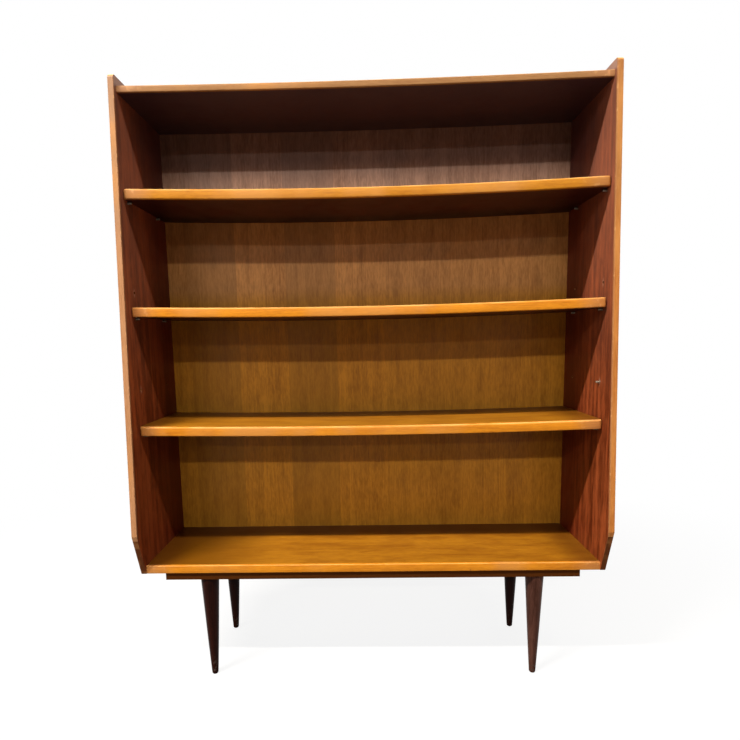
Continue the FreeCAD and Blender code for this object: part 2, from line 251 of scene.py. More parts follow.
# %% Specks group
def make_specks_group():
    """A mask of small round dots, a few to the metre."""
    tree, given, result = new_group("specks", {"Place": None, "Cell": 0.03, "Size": 0.03,
                                               "Share": 0.1}, ("Dots",))
    cells = add_node(tree, "TexVoronoi", {"Vector": given["Place"],
                                          "Scale": sums(tree, "DIVIDE", 1.0, given["Cell"])})
    chance = add_node(tree, "SeparateColor", {0: cells.outputs["Color"]}).outputs[0]
    kept = sums(tree, "LESS_THAN", chance, given["Share"])
    near = sums(tree, "LESS_THAN", cells.outputs["Distance"], given["Size"])
    tree.links.new(sums(tree, "MULTIPLY", kept, near), result["Dots"])
    return tree


SPECKS = make_specks_group()
print("specks group made with", len(SPECKS.nodes), "nodes")

# %% [markdown]
# ## One recipe for every lacquered wood
# All the woods are finished alike: grain, then stain, then a thin lacquer that has worn at the edges.
# So one function builds them, and each wood is a short list of what differs: its light and dark
# colours, how wide its grain is, and how strongly it shows. Colours are linear, as light adds up.

# %% Wood recipe
ALONG_X = (0, math.pi / 2, 0)        # turns a pattern that runs up into one that runs sideways
ALONG_Y = (math.pi / 2, 0, 0)
UPRIGHT = (0, 0, 0)


def wood(name, light, dark, pore, turn=UPRIGHT, seed=0.0, streaks=0.5, rings=0.35, fibres=0.3,
         pores=0.5, flecks=0.0, figure=0.0, widths=(0.05, 0.012, 0.03, 0.0012, 0.0016, 0.004, 0.03),
         wear=0.5, bare=(0.5, 0.26, 0.11), gloss=0.34, shine=0.3, extra=None):
    """A lacquered wood; light, dark, pore and bare are its colours."""
    material = bpy.data.materials.new(name)
    material.use_nodes = True
    tree = material.node_tree
    shader = tree.nodes["Principled BSDF"]
    place = add_node(tree, "TexCoord").outputs["Object"]
    turned = add_node(tree, "Mapping", {"Vector": place, "Rotation": turn}).outputs[0]
    names = ("Streak Width", "Ring Spacing", "Ring Wander", "Fibre Width", "Pore Width",
             "Fleck Width", "Figure Width")
    grain = add_node(tree, "Group", node_tree=GRAIN)
    tree.links.new(turned, grain.inputs["Place"])
    grain.inputs["Seed"].default_value = seed
    for socket, value in zip(names, widths):
        grain.inputs[socket].default_value = value
    worn = add_node(tree, "Group", node_tree=WEAR)
    tree.links.new(place, worn.inputs["Place"])
    worn.inputs["Amount"].default_value = wear
    worn.inputs["Seed"].default_value = seed

    out = grain.outputs
    darkness = sums(tree, "MULTIPLY_ADD", out["Streaks"], streaks, -0.45 * (flecks + figure))
    darkness = sums(tree, "MULTIPLY_ADD", out["Rings"], rings, darkness)
    darkness = sums(tree, "MULTIPLY_ADD", out["Flecks"], flecks, darkness)
    darkness = sums(tree, "MULTIPLY_ADD", out["Figure"], figure, darkness)
    darkness = sums(tree, "MULTIPLY_ADD", out["Fibres"], fibres, darkness, clamp=True)
    colour = mixed(tree, darkness, (*light, 1), (*dark, 1))
    colour = mixed(tree, sums(tree, "MULTIPLY", out["Pores"], pores), colour, (*pore, 1))
    dull = 0.0
    if extra:
        colour, dull = extra(tree, place, colour)
    colour = mixed(tree, worn.outputs["Edges"], colour, (*bare, 1))
    tree.links.new(colour, shader.inputs["Base Color"])

    rough = sums(tree, "MULTIPLY_ADD", worn.outputs["Scuffs"], 0.14, gloss)
    rough = sums(tree, "MULTIPLY_ADD", worn.outputs["Edges"], 0.25, rough)
    rough = sums(tree, "MULTIPLY_ADD", dull, 0.5, rough, clamp=True)
    tree.links.new(rough, shader.inputs["Roughness"])
    relief = sums(tree, "ADD", sums(tree, "MULTIPLY", out["Pores"], -0.6),
                  sums(tree, "MULTIPLY", out["Fibres"], -0.25))
    bump = add_node(tree, "Bump", {"Height": relief, "Strength": 0.12, "Distance": 0.0004})
    tree.links.new(bump.outputs[0], shader.inputs["Normal"])
    shader.inputs["Specular IOR Level"].default_value = shine
    return material


print("grain runs sideways when it is turned by", [round(math.degrees(a)) for a in ALONG_X], "degrees")

# %% [markdown]
# ## The sides: mahogany veneer
# The sides are red-brown, with upright ribbon stripes. Over the veneer go, in turn: a paler, greyer tone
# towards the top, partly fading and partly a painted sheen; painted shade at the rear of the inner
# faces, high at the rear under the top board, and deepest low down on the left; pale rubbed ovals round
# the front pin holes; and lengthwise scratches. These painted shades stand for shade that these few
# lamps don't give by themselves.
# The diagonal foot and the rear edges were never lipped, so there the dark core shows. The direction
# that a face points in tells which it is.

# %% Side veneer
SPARE_LEVELS = (0.780, 1.026)        # heights of the two rows of spare pin holes
PIN_COLUMN = (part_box("spare_shelf_pin")[0].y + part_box("spare_shelf_pin")[1].y) / 2
RUBBED_OVAL = (0.005, 0.011)         # metres from a hole's middle to the oval's side and to its top
# The top tone is partly a painted sheen; the rear, low-left and high-rear tones are painted shade.
SIDE_TONES = {
    "faded_and_sheen": (0.36, 0.17, 0.115, 1), "tips": (0.42, 0.25, 0.17, 1),
    "painted_shade_at_rear": (0.10, 0.009, 0.003, 1), "painted_shade_low_left": (0.10, 0.012, 0.004, 1),
    "darker_high_up": (0.055, 0.030, 0.036, 1), "rubbed": (0.46, 0.22, 0.14, 1),
    "scratched": (0.52, 0.25, 0.13, 1), "dark_core": (0.115, 0.031, 0.007, 1),
    "light_core": (0.26, 0.10, 0.03, 1), "rear_edge": (0.10, 0.042, 0.02, 1)}


def rubbed_hole(tree, place, level):
    """A mask of the upright oval that pins and fingers have rubbed round a front hole."""
    wide, tall = 1 / RUBBED_OVAL[0], 1 / RUBBED_OVAL[1]
    oval = add_node(tree, "VectorMath", {0: place, 1: (0, wide, tall),
                                         2: (0, -PIN_COLUMN * wide, -level * tall)},
                    operation="MULTIPLY_ADD").outputs[0]
    away = add_node(tree, "VectorMath", {0: oval}, operation="LENGTH").outputs["Value"]
    return ramp(tree, away, 1.3, 0.6, 0.0, 0.5)


def side_ageing(tree, place, colour):
    """Paler upwards, partly a painted sheen; rubbed pale at the tips; painted shade at the rear, low
    left and high rear; scratched, and its edges bare.
    """
    spot, facing = parts_of(tree, place), face_direction(tree)
    # Paler and greyer upwards: partly fading, partly a painted sheen.
    colour = mixed(tree, ramp(tree, spot[2], 0.6, 1.45, 0.0, 0.42), colour, SIDE_TONES["faded_and_sheen"])
    inward = sums(tree, "LESS_THAN", sums(tree, "MULTIPLY", facing[0], spot[0]), 0.0)
    tips = sums(tree, "MULTIPLY", inward, ramp(tree, spot[2], 1.506, 1.514, 0.0, 0.7))
    colour = mixed(tree, tips, colour, SIDE_TONES["tips"])
    # Painted shade at the rear of the inner faces, darker towards the back.
    painted_shade_at_rear = sums(tree, "MULTIPLY", inward, ramp(tree, spot[1], -0.04, 0.12, 0.0, 0.78))
    colour = mixed(tree, painted_shade_at_rear, colour, SIDE_TONES["painted_shade_at_rear"])
    # Painted shade low down on the left inner face.
    painted_shade_low_left = sums(tree, "MULTIPLY", ramp(tree, spot[0], 0.0, -0.1),
                    ramp(tree, spot[2], 0.85, 0.45, 0.0, 0.4))
    unlit = sums(tree, "MULTIPLY", inward, painted_shade_low_left)
    colour = mixed(tree, unlit, colour, SIDE_TONES["painted_shade_low_left"])
    # Painted shade high at the rear, under the top board, dark and bluish.
    high_rear = sums(tree, "MULTIPLY", ramp(tree, spot[1], -0.12, 0.03),
                     ramp(tree, spot[2], 1.28, 1.44, 0.0, 0.6))
    darker_high_up = sums(tree, "MULTIPLY", inward, high_rear)
    colour = mixed(tree, darker_high_up, colour, SIDE_TONES["darker_high_up"])
    for level in SPARE_LEVELS:
        rubbed_off = sums(tree, "MULTIPLY", inward, rubbed_hole(tree, place, level))
        colour = mixed(tree, rubbed_off, colour, SIDE_TONES["rubbed"])
    long_way = add_node(tree, "Mapping", {"Vector": place, "Scale": (1.0, 1.0, 0.03)}).outputs[0]
    scratches = ramp(tree, cloud(tree, long_way, 420.0, 2.0), 0.71, 0.75, 0.0, 0.45)
    colour = mixed(tree, scratches, colour, SIDE_TONES["scratched"])
    core = ramp(tree, sums(tree, "ABSOLUTE", facing[0]), 0.75, 0.35)
    mottled = ramp(tree, cloud(tree, place, 38.0, 5.0), 0.42, 0.66)
    cut = mixed(tree, mottled, SIDE_TONES["dark_core"], SIDE_TONES["light_core"])
    stain = mixed(tree, ramp(tree, facing[1], -0.3, 0.3), cut, SIDE_TONES["rear_edge"])
    return mixed(tree, core, colour, stain), core


SIDE_WOOD = wood("side_veneer", (0.43, 0.098, 0.028), (0.12, 0.020, 0.005), (0.06, 0.012, 0.005),
                 seed=3.1, streaks=0.78, rings=0.15, fibres=0.3, pores=0.3, flecks=0.28, figure=0.25,
                 widths=(0.019, 0.02, 0.04, 0.0014, 0.0018, 0.004, 0.018), wear=0.6,
                 bare=(0.55, 0.26, 0.13), gloss=0.38, shine=0.14, extra=side_ageing)
print("side veneer:", SIDE_WOOD.name)

# %% [markdown]
# ## Lippings: solid light wood
# The front edges are strips of a paler, straight-grained wood. They are the brightest lines of the
# whole piece. Lippings from one plank still age apart: the left upright has gone pinkish, the right
# one amber, the top one brown, and the level ones honey. So there are four woods with one look. The
# rounded nose is paler, partly where sleeves and books rub and partly as a painted highlight where it
# turns up towards the lamps; it is found by how far its surface leans back. Near their ends the
# lippings are painted darker, as shade.

# %% Lipping wood
# The end tone is painted shade, and the nose tone is partly a painted highlight.
LIPPING_TONES = {
    "greyer_high_up": (0.80, 0.88, 1.0, 1), "amber": (0.62, 0.27, 0.07, 1), "dot": (0.14, 0.05, 0.02, 1),
    "end": (0.38, 0.17, 0.08, 1), "chip": (0.80, 0.44, 0.18, 1), "nose": (0.86, 0.44, 0.13, 1)}


def rubbed(tree, place, colour):
    """Thin amber patches, greyer and darker high up, painted shade and chips near the ends, and a nose
    rubbed pale that is partly a painted highlight.
    """
    spot, up = parts_of(tree, place), face_direction(tree)[2]
    # Greyer and darker high up.
    darker_high_up = ramp(tree, spot[2], 1.1, 1.28)
    colour = mixed(tree, darker_high_up, colour, LIPPING_TONES["greyer_high_up"], blend="MULTIPLY")
    share = ramp(tree, cloud(tree, place, 5.0, 3.0), 0.46, 0.68, 0.0, 0.6)
    colour = mixed(tree, share, colour, LIPPING_TONES["amber"])
    dots = add_node(tree, "Group", {"Place": place, "Cell": 0.05, "Size": 0.045, "Share": 0.16},
                    node_tree=SPECKS)
    colour = mixed(tree, sums(tree, "MULTIPLY", dots.outputs[0], 0.5), colour, LIPPING_TONES["dot"])
    along = sums(tree, "ABSOLUTE", spot[0])
    near_end = sums(tree, "MULTIPLY", ramp(tree, along, 0.50, 0.572), ramp(tree, along, 0.589, 0.587))
    # Painted shade: darker near the ends.
    colour = mixed(tree, sums(tree, "MULTIPLY", near_end, 0.5), colour, LIPPING_TONES["end"])
    knocks = ramp(tree, cloud(tree, place, 70.0, 4.0), 0.56, 0.66, 0.0, 0.32)
    colour = mixed(tree, sums(tree, "MULTIPLY", near_end, knocks), colour, LIPPING_TONES["chip"])
    # The nose: partly rubbed pale, partly a painted highlight where the surface turns up towards the
    # lamps.
    nose = sums(tree, "MULTIPLY", ramp(tree, up, 0.3, 0.7), ramp(tree, up, 1.0, 0.93))
    uneven = ramp(tree, cloud(tree, place, 16.0, 5.0), 0.3, 0.62, 0.15, 0.9)
    return mixed(tree, sums(tree, "MULTIPLY", nose, uneven), colour, LIPPING_TONES["nose"]), 0.0


LIPPING_WIDTHS = (0.012, 0.006, 0.008, 0.0012, 0.0016, 0.003, 0.02)
LIPPING_LOOK = dict(streaks=0.45, rings=0.25, fibres=0.25, pores=0.25, flecks=0.3, figure=0.35,
                    widths=LIPPING_WIDTHS, wear=0.47, bare=(0.80, 0.43, 0.15), gloss=0.42,
                    shine=0.16, extra=rubbed)
LEFT_LIPPING = wood("lipping_left", (0.48, 0.235, 0.11), (0.37, 0.165, 0.065), (0.22, 0.08, 0.03),
                    seed=7.7, **LIPPING_LOOK)
RIGHT_LIPPING = wood("lipping_right", (0.56, 0.215, 0.05), (0.38, 0.12, 0.02), (0.24, 0.07, 0.015),
                     seed=3.9, **LIPPING_LOOK)
TOP_LIPPING = wood("lipping_top", (0.46, 0.205, 0.065), (0.345, 0.14, 0.038), (0.21, 0.07, 0.016),
                   turn=ALONG_X, seed=6.6, **LIPPING_LOOK)
LEVEL_LIPPING = wood("lipping_level", (0.74, 0.27, 0.014), (0.52, 0.165, 0.008),
                     (0.30, 0.09, 0.006), turn=ALONG_X, seed=1.4, **LIPPING_LOOK)
print("lipping woods:", LEFT_LIPPING.name, RIGHT_LIPPING.name, TOP_LIPPING.name, LEVEL_LIPPING.name)

# %% [markdown]
# ## Boards: golden veneer
# The boards' veneer runs from side to side and is golden on top. Painted shade darkens it along the
# rear and towards the ends, and turns the undersides a dark purplish brown, darkest under the top
# board; their ends are bare core. The bottom board also has a few dots of wall paint and small dents,
# and painted shade towards its left end.

# %% Board veneer
# The corner, rear, underside, high and left tones are painted shade.
BOARD_TONES = {
    "paint": (0.75, 0.62, 0.45, 1), "dent": (0.10, 0.04, 0.01, 1), "corner": (0.12, 0.035, 0.004, 1),
    "painted_rear_shade": (0.07, 0.014, 0.001, 1), "painted_shade_underside": (0.17, 0.09, 1.4, 1),
    "darker_high_up": (0.062, 0.036, 0.05, 1), "core": (0.22, 0.088, 0.022, 1),
    "painted_shade_left": (0.17, 0.058, 0.002, 1)}


def paint_dots(tree, place, colour):
    """A few pale dots of wall paint and dark dents."""
    pale = add_node(tree, "Group", {"Place": place, "Cell": 0.034, "Size": 0.032, "Share": 0.13},
                    node_tree=SPECKS)
    moved = add_node(tree, "Mapping", {"Vector": place, "Location": (0.4, 0.7, 0.2)}).outputs[0]
    dents = add_node(tree, "Group", {"Place": moved, "Cell": 0.06, "Size": 0.03, "Share": 0.2},
                     node_tree=SPECKS)
    colour = mixed(tree, sums(tree, "MULTIPLY", pale.outputs[0], 0.7), colour, BOARD_TONES["paint"])
    return mixed(tree, sums(tree, "MULTIPLY", dents.outputs[0], 0.6), colour, BOARD_TONES["dent"])


def board_faces(tree, place, colour):
    """Gold, with painted shade at the ends, along the rear and on the underside; bare core at the ends.
    """
    spot, facing = parts_of(tree, place), face_direction(tree)
    under = ramp(tree, facing[2], -0.4, -0.8)
    end = ramp(tree, sums(tree, "ABSOLUTE", facing[0]), 0.35, 0.75)
    ragged = cloud(tree, place, 9.0, 4.0)
    from_middle = sums(tree, "MULTIPLY_ADD", ragged, 0.03, sums(tree, "ABSOLUTE", spot[0]))
    # Painted shade: darker towards both ends.
    corner = ramp(tree, from_middle, 0.49, 0.58, 0.0, 0.6)
    colour = mixed(tree, corner, colour, BOARD_TONES["corner"])
    # Painted shade: dark along the rear, under the shelf above.
    depth = sums(tree, "MULTIPLY_ADD", ragged, 0.03, spot[1])
    painted_rear_shade = ramp(tree, depth, 0.07, 0.13, 0.0, 0.88)
    colour = mixed(tree, painted_rear_shade, colour, BOARD_TONES["painted_rear_shade"])
    # Painted shade: the underside darkened to a purplish near-black.
    plain = mixed(tree, 1.0, colour, BOARD_TONES["painted_shade_underside"], blend="MULTIPLY")
    # Painted shade, darker still, on the top board's underside.
    darker_high_up = ramp(tree, spot[2], 1.40, 1.48, 0.0, 0.7)
    plain = mixed(tree, darker_high_up, plain, BOARD_TONES["darker_high_up"])
    colour = mixed(tree, under, colour, plain)
    return mixed(tree, end, colour, BOARD_TONES["core"]), end


def marked_faces(tree, place, colour):
    """The bottom board: painted shade towards its left end, and marks on its top."""
    # Painted shade towards the left end.
    to_left = ramp(tree, parts_of(tree, place)[0], -0.22, -0.48, 0.0, 0.9)
    colour = mixed(tree, to_left, colour, BOARD_TONES["painted_shade_left"])
    return board_faces(tree, place, paint_dots(tree, place, colour))


BOARD_WIDTHS = (0.03, 0.014, 0.02, 0.0012, 0.0017, 0.005, 0.03)
BOARD_WOODS = {
    name: wood("veneer_" + name, (0.41, 0.160, 0.008), (0.26, 0.086, 0.004), (0.14, 0.04, 0.003),
               turn=ALONG_X, seed=seed, streaks=0.4, rings=0.2, fibres=0.2, pores=0.4,
               flecks=0.35, figure=0.5, widths=BOARD_WIDTHS, wear=0.45,
               bare=(0.55, 0.28, 0.08), gloss=0.34, shine=0.25,
               extra=marked_faces if name == "bottom_board" else board_faces)
    for name, seed in (("top_board", 0.9), ("bottom_board", 5.3), ("upper_shelf", 2.2),
                       ("middle_shelf", 8.6), ("lower_shelf", 11.9))}
print("board veneers:", sorted(BOARD_WOODS))

# %% [markdown]
# ## The back: thin plywood, veneered on its front
# The back has upright, straight, very fine grain and hardly any lacquer. It was laid as narrow leaves
# side by side, each a little different in tone. Shelf by shelf towards the top it turns paler and bluer,
# partly fading and partly a painted sheen, and under the top board it is painted dark as shade. Its
# rear was left raw: plywood peeled from a log, with wide wandering rings. The direction that a face
# points in chooses between the two.

# %% Back veneer
LEAF_WIDTH = 0.147           # the strips of veneer that were laid side by side
LEAF_START = -3.03           # a place left of the case where one leaf's edge would fall
# The top tone is partly a painted sheen, and the high dark tone is painted shade.
BACK_TONES = {
    "other_leaf": (0.24, 0.108, 0.01, 1), "faded_and_sheen": (1.65, 2.4, 20.0, 1), "darker_high_up": (0.28, 0.26, 0.28, 1),
    "raw_light": (0.60, 0.40, 0.215, 1), "raw_dark": (0.36, 0.205, 0.095, 1),
    "raw_pore": (0.2, 0.105, 0.05, 1)}


def veneer_leaves(tree, place, colour):
    """Leaves of slightly different tone in front; the rear face is raw plywood, paler and greyer."""
    spot = parts_of(tree, place)
    from_start = sums(tree, "SUBTRACT", spot[0], LEAF_START)
    leaf = sums(tree, "FLOOR", sums(tree, "DIVIDE", from_start, LEAF_WIDTH))
    chance = add_node(tree, "TexWhiteNoise", {"W": leaf}, noise_dimensions="1D").outputs["Value"]
    colour = mixed(tree, sums(tree, "MULTIPLY", chance, 0.5), colour, BACK_TONES["other_leaf"])
    # Paler and bluer towards the top: partly fading, partly a painted sheen.
    faded_and_sheen = sums(tree, "ADD", ramp(tree, spot[2], 1.0, 1.06, 0.0, 0.16),
                 ramp(tree, spot[2], 1.25, 1.29, 0.0, 0.70))
    colour = mixed(tree, faded_and_sheen, colour, BACK_TONES["faded_and_sheen"], blend="MULTIPLY")
    # Painted shade under the top board.
    darker_high_up = ramp(tree, spot[2], 1.30, 1.42)
    colour = mixed(tree, darker_high_up, colour, BACK_TONES["darker_high_up"], blend="MULTIPLY")
    behind = ramp(tree, face_direction(tree)[1], 0.3, 0.7)
    peeled = add_node(tree, "Group", {"Place": place, "Seed": 2.3, "Streak Width": 0.16,
                                      "Ring Spacing": 0.035, "Ring Wander": 0.16,
                                      "Figure Width": 0.05}, node_tree=GRAIN).outputs
    dark = sums(tree, "MULTIPLY_ADD", peeled["Rings"], 0.45,
                sums(tree, "MULTIPLY", peeled["Streaks"], 0.3))
    dark = sums(tree, "MULTIPLY_ADD", peeled["Fibres"], 0.2, dark, clamp=True)
    raw = mixed(tree, dark, BACK_TONES["raw_light"], BACK_TONES["raw_dark"])
    raw = mixed(tree, sums(tree, "MULTIPLY", peeled["Pores"], 0.5), raw, BACK_TONES["raw_pore"])
    return mixed(tree, behind, colour, raw), behind


BACK_WOOD = wood("back_veneer", (0.55, 0.235, 0.020), (0.275, 0.105, 0.008), (0.18, 0.06, 0.005),
                 seed=4.6, streaks=0.4, rings=0.15, fibres=0.25, pores=0.2, flecks=0.36, figure=0.3,
                 widths=(0.03, 0.014, 0.02, 0.0022, 0.0024, 0.0036, 0.02), wear=0.2,
                 gloss=0.34, shine=0.15, extra=veneer_leaves)
print("back veneer:", BACK_WOOD.name)

# %% [markdown]
# ## Rails, dowels and legs
# The leg frame is plain brown wood, hardly lacquered. The legs were turned from beech and dyed nearly
# black; their feet have been kicked and dragged, so the dye is speckled away there. The front right
# leg gets a lighter copy of the dye of its own, as painted light for the light that falls on it.

# %% Frame and leg woods
CHIPPED_DYE = (0.075, 0.05, 0.04, 1)


def kicked_feet(tree, place, colour):
    """The dye is chipped near the floor."""
    low = ramp(tree, parts_of(tree, place)[2], 0.075, 0.004)
    chips = ramp(tree, cloud(tree, place, 150.0, 4.0), 0.5, 0.66)
    return mixed(tree, sums(tree, "MULTIPLY", low, chips), colour, CHIPPED_DYE), low


RAIL_LOOK = dict(wear=0.35, bare=(0.16, 0.065, 0.02), gloss=0.55, shine=0.04)
RAIL_COLOURS = ((0.082, 0.022, 0.003), (0.043, 0.011, 0.001), (0.022, 0.007, 0.001))
RAIL_WOOD = wood("rail_wood", *RAIL_COLOURS, turn=ALONG_X, seed=6.2, **RAIL_LOOK)
END_RAIL_WOOD = wood("end_rail_wood", *RAIL_COLOURS, turn=ALONG_Y, seed=9.4, **RAIL_LOOK)
DOWEL_WOOD = wood("dowel_wood", (0.62, 0.42, 0.22), (0.42, 0.26, 0.12), (0.3, 0.17, 0.07),
                  turn=ALONG_X, seed=2.8, wear=0.1, gloss=0.6, shine=0.2)
LEG_LOOK = dict(streaks=0.6, rings=0.2, fibres=0.4, figure=0.2,
                widths=(0.014, 0.008, 0.01, 0.001, 0.0014, 0.004, 0.02), wear=0.3,
                bare=(0.05, 0.025, 0.018), gloss=0.26, shine=0.04, extra=kicked_feet)
LEG_WOOD = wood("leg_wood", (0.03, 0.006, 0.0025), (0.009, 0.002, 0.001), (0.006, 0.002, 0.001),
                seed=1.9, **LEG_LOOK)
# Painted light: a lighter copy of the leg dye for the front right leg.
PAINTED_LIT_LEG_WOOD = wood("leg_wood_painted_lit", (0.115, 0.047, 0.032), (0.045, 0.016, 0.01),
                      (0.02, 0.008, 0.005), seed=4.1, **LEG_LOOK)
print("frame woods:", [made.name for made in (RAIL_WOOD, END_RAIL_WOOD, DOWEL_WOOD, LEG_WOOD,
                                              PAINTED_LIT_LEG_WOOD)])

# %% [markdown]
# ## Metal
# The pins are steel with a bronze tarnish; the spare one gets a lighter copy of that steel, as painted
# light. Screws and inserts are plated and gone dull; the back panel's nails have rusted dark. Metal has
# no colour of its own beneath its reflection, so what matters is its tint and how rough it is.

# %% Steel
def steel(name, tint, smooth):
    """Dull steel, tarnished in patches; smooth is its roughness where it is cleanest."""
    material = bpy.data.materials.new(name)
    material.use_nodes = True
    tree = material.node_tree
    shader = tree.nodes["Principled BSDF"]
    place = add_node(tree, "TexCoord").outputs["Object"]
    tarnish = cloud(tree, place, 260.0, 5.0)
    share = ramp(tree, tarnish, 0.42, 0.7)
    darker = tuple(part * 0.45 for part in tint)
    tree.links.new(mixed(tree, share, (*tint, 1), (*darker, 1)), shader.inputs["Base Color"])
    rough = ramp(tree, tarnish, 0.3, 0.8, smooth, smooth + 0.3)
    tree.links.new(rough, shader.inputs["Roughness"])
    bump = add_node(tree, "Bump", {"Height": tarnish, "Strength": 0.2, "Distance": 0.0002})
    tree.links.new(bump.outputs[0], shader.inputs["Normal"])
    shader.inputs["Metallic"].default_value = 1.0
    return material


PIN_STEEL = steel("pin_steel", (0.22, 0.175, 0.13), 0.36)
# Painted light: a lighter copy of the pin steel, for the spare pin.
PAINTED_LIT_SPARE_PIN_STEEL = steel("pin_steel_painted_lit", (0.44, 0.36, 0.27), 0.30)
FIXING_STEEL = steel("fixing_steel", (0.50, 0.47, 0.41), 0.38)
NAIL_STEEL = steel("nail_steel", (0.055, 0.026, 0.014), 0.6)
print("metals:", PIN_STEEL.name, PAINTED_LIT_SPARE_PIN_STEEL.name, FIXING_STEEL.name, NAIL_STEEL.name)

# %% [markdown]
# ## Dress the pieces that keep their shape
# A material goes into an object's material slot; the mesh itself is untouched. The table says which
# wood or metal each piece wears.

# %% Dress the CAD pieces
def dress(name, material):
    """One material on one piece."""
    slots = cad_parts[name].data.materials
    slots.clear()
    slots.append(material)


FINISHES = {
    "left_side_panel": SIDE_WOOD, "right_side_panel": SIDE_WOOD,
    "left_side_lipping": LEFT_LIPPING, "right_side_lipping": RIGHT_LIPPING,
    "back_panel": BACK_WOOD, "front_rail": RAIL_WOOD, "rear_rail": RAIL_WOOD,
    "left_end_rail": END_RAIL_WOOD, "right_end_rail": END_RAIL_WOOD,
    "top_board_dowels": DOWEL_WOOD, "bottom_board_dowels": DOWEL_WOOD,
    "frame_dowels": DOWEL_WOOD, "back_panel_nails": NAIL_STEEL,
    "frame_screws": FIXING_STEEL, "leg_hanger_bolts": FIXING_STEEL, "leg_inserts": FIXING_STEEL,
    **BOARD_WOODS}
for node_name, finish in FINISHES.items():
    dress(node_name, finish)
print(len(FINISHES), "pieces dressed")

# %% [markdown]
# ## Modelling helpers
# An operator works on whatever is selected, so each piece starts by deselecting everything. In edit
# mode, edges are picked by a test on their two ends, the way one would box-select them by eye.

# %% Modelling helpers
def start_fresh():
    """Nothing selected and nothing in edit mode."""
    if bpy.context.object and bpy.context.object.mode != "OBJECT":
        bpy.ops.object.mode_set(mode="OBJECT")
    bpy.ops.object.select_all(action="DESELECT")


def pick_edges(piece, wanted):
    """Select the edges whose two ends pass the test, and go to edit mode."""
    bpy.ops.object.mode_set(mode="EDIT")
    bpy.ops.mesh.select_mode(type="EDGE")
    bpy.ops.mesh.select_all(action="DESELECT")
    bpy.ops.object.mode_set(mode="OBJECT")
    points = piece.data.vertices
    count = 0
    for edge in piece.data.edges:
        ends = [points[index].co for index in edge.vertices]
        edge.select = bool(wanted(*ends))
        count += edge.select
    bpy.ops.object.mode_set(mode="EDIT")
    return count


def place_in_mesh(piece):
    """Put the piece's place into its mesh, so that its object sits at the origin."""
    bpy.ops.object.mode_set(mode="OBJECT")
    bpy.ops.object.transform_apply(location=True, rotation=True, scale=True)


def hand_over(piece, node, body, slot, material):
    """The finished piece stands for a CAD node and moves with its body."""
    piece.name = piece.data.name = node + "_shaped"
    piece.data.materials.clear()
    piece.data.materials.append(material)
    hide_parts(node)
    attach(piece, body)


MODELLING_HELPERS = (start_fresh, pick_edges, place_in_mesh, hand_over)
print("modelling helpers:", [helper.__name__ for helper in MODELLING_HELPERS])

# %% [markdown]
# ## Shelf and board lippings
# A lipping is a long strip whose front corners were rounded by hand. It starts as a cube stretched to
# size. Its long edges are subdivided so that it can bend, its corners are bevelled one after another,
# and then every point drops by the board's sag at its place. Bevelling before the bend keeps the
# corners even. Last, small dents are pressed into the front edge, where books and hands knock it.

# %% Sagging strip
BEND_STEPS = 48
DENT_DEPTH = 0.0005
DENT_SIZE = 0.035
CLOSE = 0.00001              # two places nearer than this are the same


def sag_at(x, half, sag):
    """How far a board that rests on its ends has sunk at a place along it."""
    radius = (half ** 2 + sag ** 2) / (2 * sag)
    return math.sqrt(radius ** 2 - x ** 2) - (radius - sag)


def model_strip(node, sag, upper, lower, corner):
    """A rounded strip in the space of a CAD lipping; upper, lower and corner are radii."""
    low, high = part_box(node)
    thick = high.z - low.z - sag
    start_fresh()
    middle = (low + high) / 2
    bpy.ops.mesh.primitive_cube_add(size=1, location=(middle.x, middle.y, high.z - thick / 2))
    piece = bpy.context.object
    piece.scale = (high.x - low.x, high.y - low.y, thick)
    place_in_mesh(piece)
    top, front = high.z, low.y
    if corner:
        pick_edges(piece, lambda a, b: abs(a.x - b.x) < CLOSE and a.y < front + CLOSE
                   and b.y < front + CLOSE)
        bpy.ops.mesh.bevel(offset=corner, segments=6, affect="EDGES")
    behind = high.y - CLOSE
    pick_edges(piece, lambda a, b: min(a.z, b.z) > top - CLOSE and max(a.y, b.y) < behind)
    bpy.ops.mesh.bevel(offset=upper, segments=5, affect="EDGES")
    under = top - thick + CLOSE
    pick_edges(piece, lambda a, b: max(a.z, b.z) < under and max(a.y, b.y) < behind)
    bpy.ops.mesh.bevel(offset=lower, segments=3, affect="EDGES")
    pick_edges(piece, lambda a, b: abs(a.x - b.x) > (high.x - low.x) / 2)
    bpy.ops.mesh.subdivide(number_cuts=BEND_STEPS)
    bpy.ops.object.mode_set(mode="OBJECT")
    for point in piece.data.vertices:
        nearness = max(0.0, 1 - (point.co.y - front) / (upper * 1.2))
        knock = noise.noise(point.co / DENT_SIZE)
        point.co.y += DENT_DEPTH * nearness * max(0.0, knock)
        point.co.z -= sag_at(point.co.x, high.x, sag) if sag else 0.0
    bpy.ops.object.shade_smooth_by_angle(angle=math.radians(32))
    return piece


half_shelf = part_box("lower_shelf_lipping")[1].x
print("a shelf's middle sinks", round(sag_at(0, half_shelf, 0.007) * 1000, 1), "mm if its sag is 7 mm")

# %% [markdown]
# Three lippings belong to the shelves and move with them. Two belong to the case. A shelf's lipping has
# a nose of 5 mm and rounded front corners; the two fixed boards run straight into the sides, so only
# their long edges are eased.

